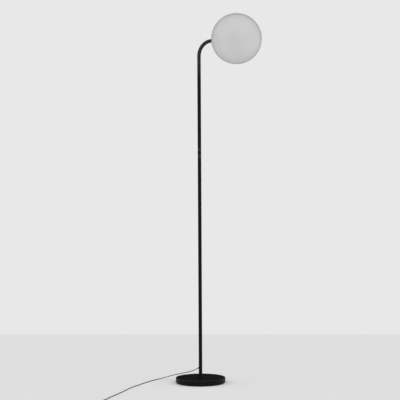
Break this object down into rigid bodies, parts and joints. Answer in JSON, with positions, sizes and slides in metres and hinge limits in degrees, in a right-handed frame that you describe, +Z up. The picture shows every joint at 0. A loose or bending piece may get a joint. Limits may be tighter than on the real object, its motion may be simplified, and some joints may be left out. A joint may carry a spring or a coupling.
{
  "type": "globe floor lamp",
  "caption": "Slim black floor lamp: round weighted foot, straight pole with a turning dimmer ring, bent arm, opal glass globe, plug-in low-voltage lead.",
  "frame": {"origin": "on the floor, at the centre of the foot's underside", "axes": "+Z up the pole, +X along the arm towards the globe; the lead leaves the pole on the -X side"},
  "size_m": [0.588, 0.9368, 1.845],
  "materials": {
    "foam": "closed-cell foam sheet",
    "black_coat": "satin black powder coat on steel",
    "cast_iron": "as cast",
    "zinc_steel": "zinc plated",
    "black_lead": "smooth black sheath",
    "black_anodised": "satin black anodised",
    "white_plastic": "natural acetal",
    "circuit_board": "green circuit board with parts",
    "magnet": "sintered magnet",
    "rubber": "friction rubber",
    "black_knurled": "matte black anodised, knurled",
    "clear_silicone": "translucent silicone",
    "opal_glass": "glossy white opal glass",
    "spring_steel": "stainless spring strip",
    "black_sink": "black anodised, cast and turned",
    "white_board": "white solder mask on aluminium",
    "diffuser": "frosted polycarbonate",
    "black_rubber": "moulded strain relief",
    "black_tie": "woven hook-and-loop tie",
    "black_plastic": "fine spark texture",
    "nickel": "nickel-plated brass"
  },
  "bodies": {
    "stand": {"adapter_board": "circuit_board", "adapter_cap": "black_plastic", "adapter_relief": "black_rubber", "adapter_shell": "black_plastic", "arm_insert": "zinc_steel", "base_cover": "black_coat", "base_pad": "foam", "base_weight": "cast_iron", "board_screws": "zinc_steel", "cap_nut": "zinc_steel", "cap_washer": "zinc_steel", "clip_rivets": "zinc_steel", "cord_coil": "black_lead", "cord_relief": "black_rubber", "cord_tie": "black_tie", "dimmer_board": "circuit_board", "dimmer_spindle": "zinc_steel", "foot_bolt": "zinc_steel", "foot_collar": "black_coat", "foot_insert": "zinc_steel", "foot_washer": "zinc_steel", "friction_ring": "rubber", "glide_washer": "white_plastic", "globe": "opal_glass", "globe_cap": "black_anodised", "globe_clips": "spring_steel", "globe_gasket": "clear_silicone", "led_board": "white_board", "led_dome": "diffuser", "led_heatsink": "black_sink", "led_stem": "zinc_steel", "lower_bush": "white_plastic", "lower_ferrule": "black_anodised", "lower_tube": "black_coat", "plug_pins": "nickel", "pole_lead": "black_lead", "sensor_board": "circuit_board", "sensor_lead": "black_lead", "supply_cord": "black_lead", "upper_bush": "white_plastic", "upper_ferrule": "black_anodised", "upper_tube": "black_coat"},
    "dimmer": {"dimmer_ring": "black_knurled", "ring_magnet": "magnet", "stop_pin": "zinc_steel"}
  },
  "joints": [
    {"name": "dimmer_turn", "type": "hinge", "parent": "stand", "child": "dimmer", "pos_m": [0, 0, 1.159], "axis": [0, 0, 1], "range_deg": [-135, 135]}
  ]
}
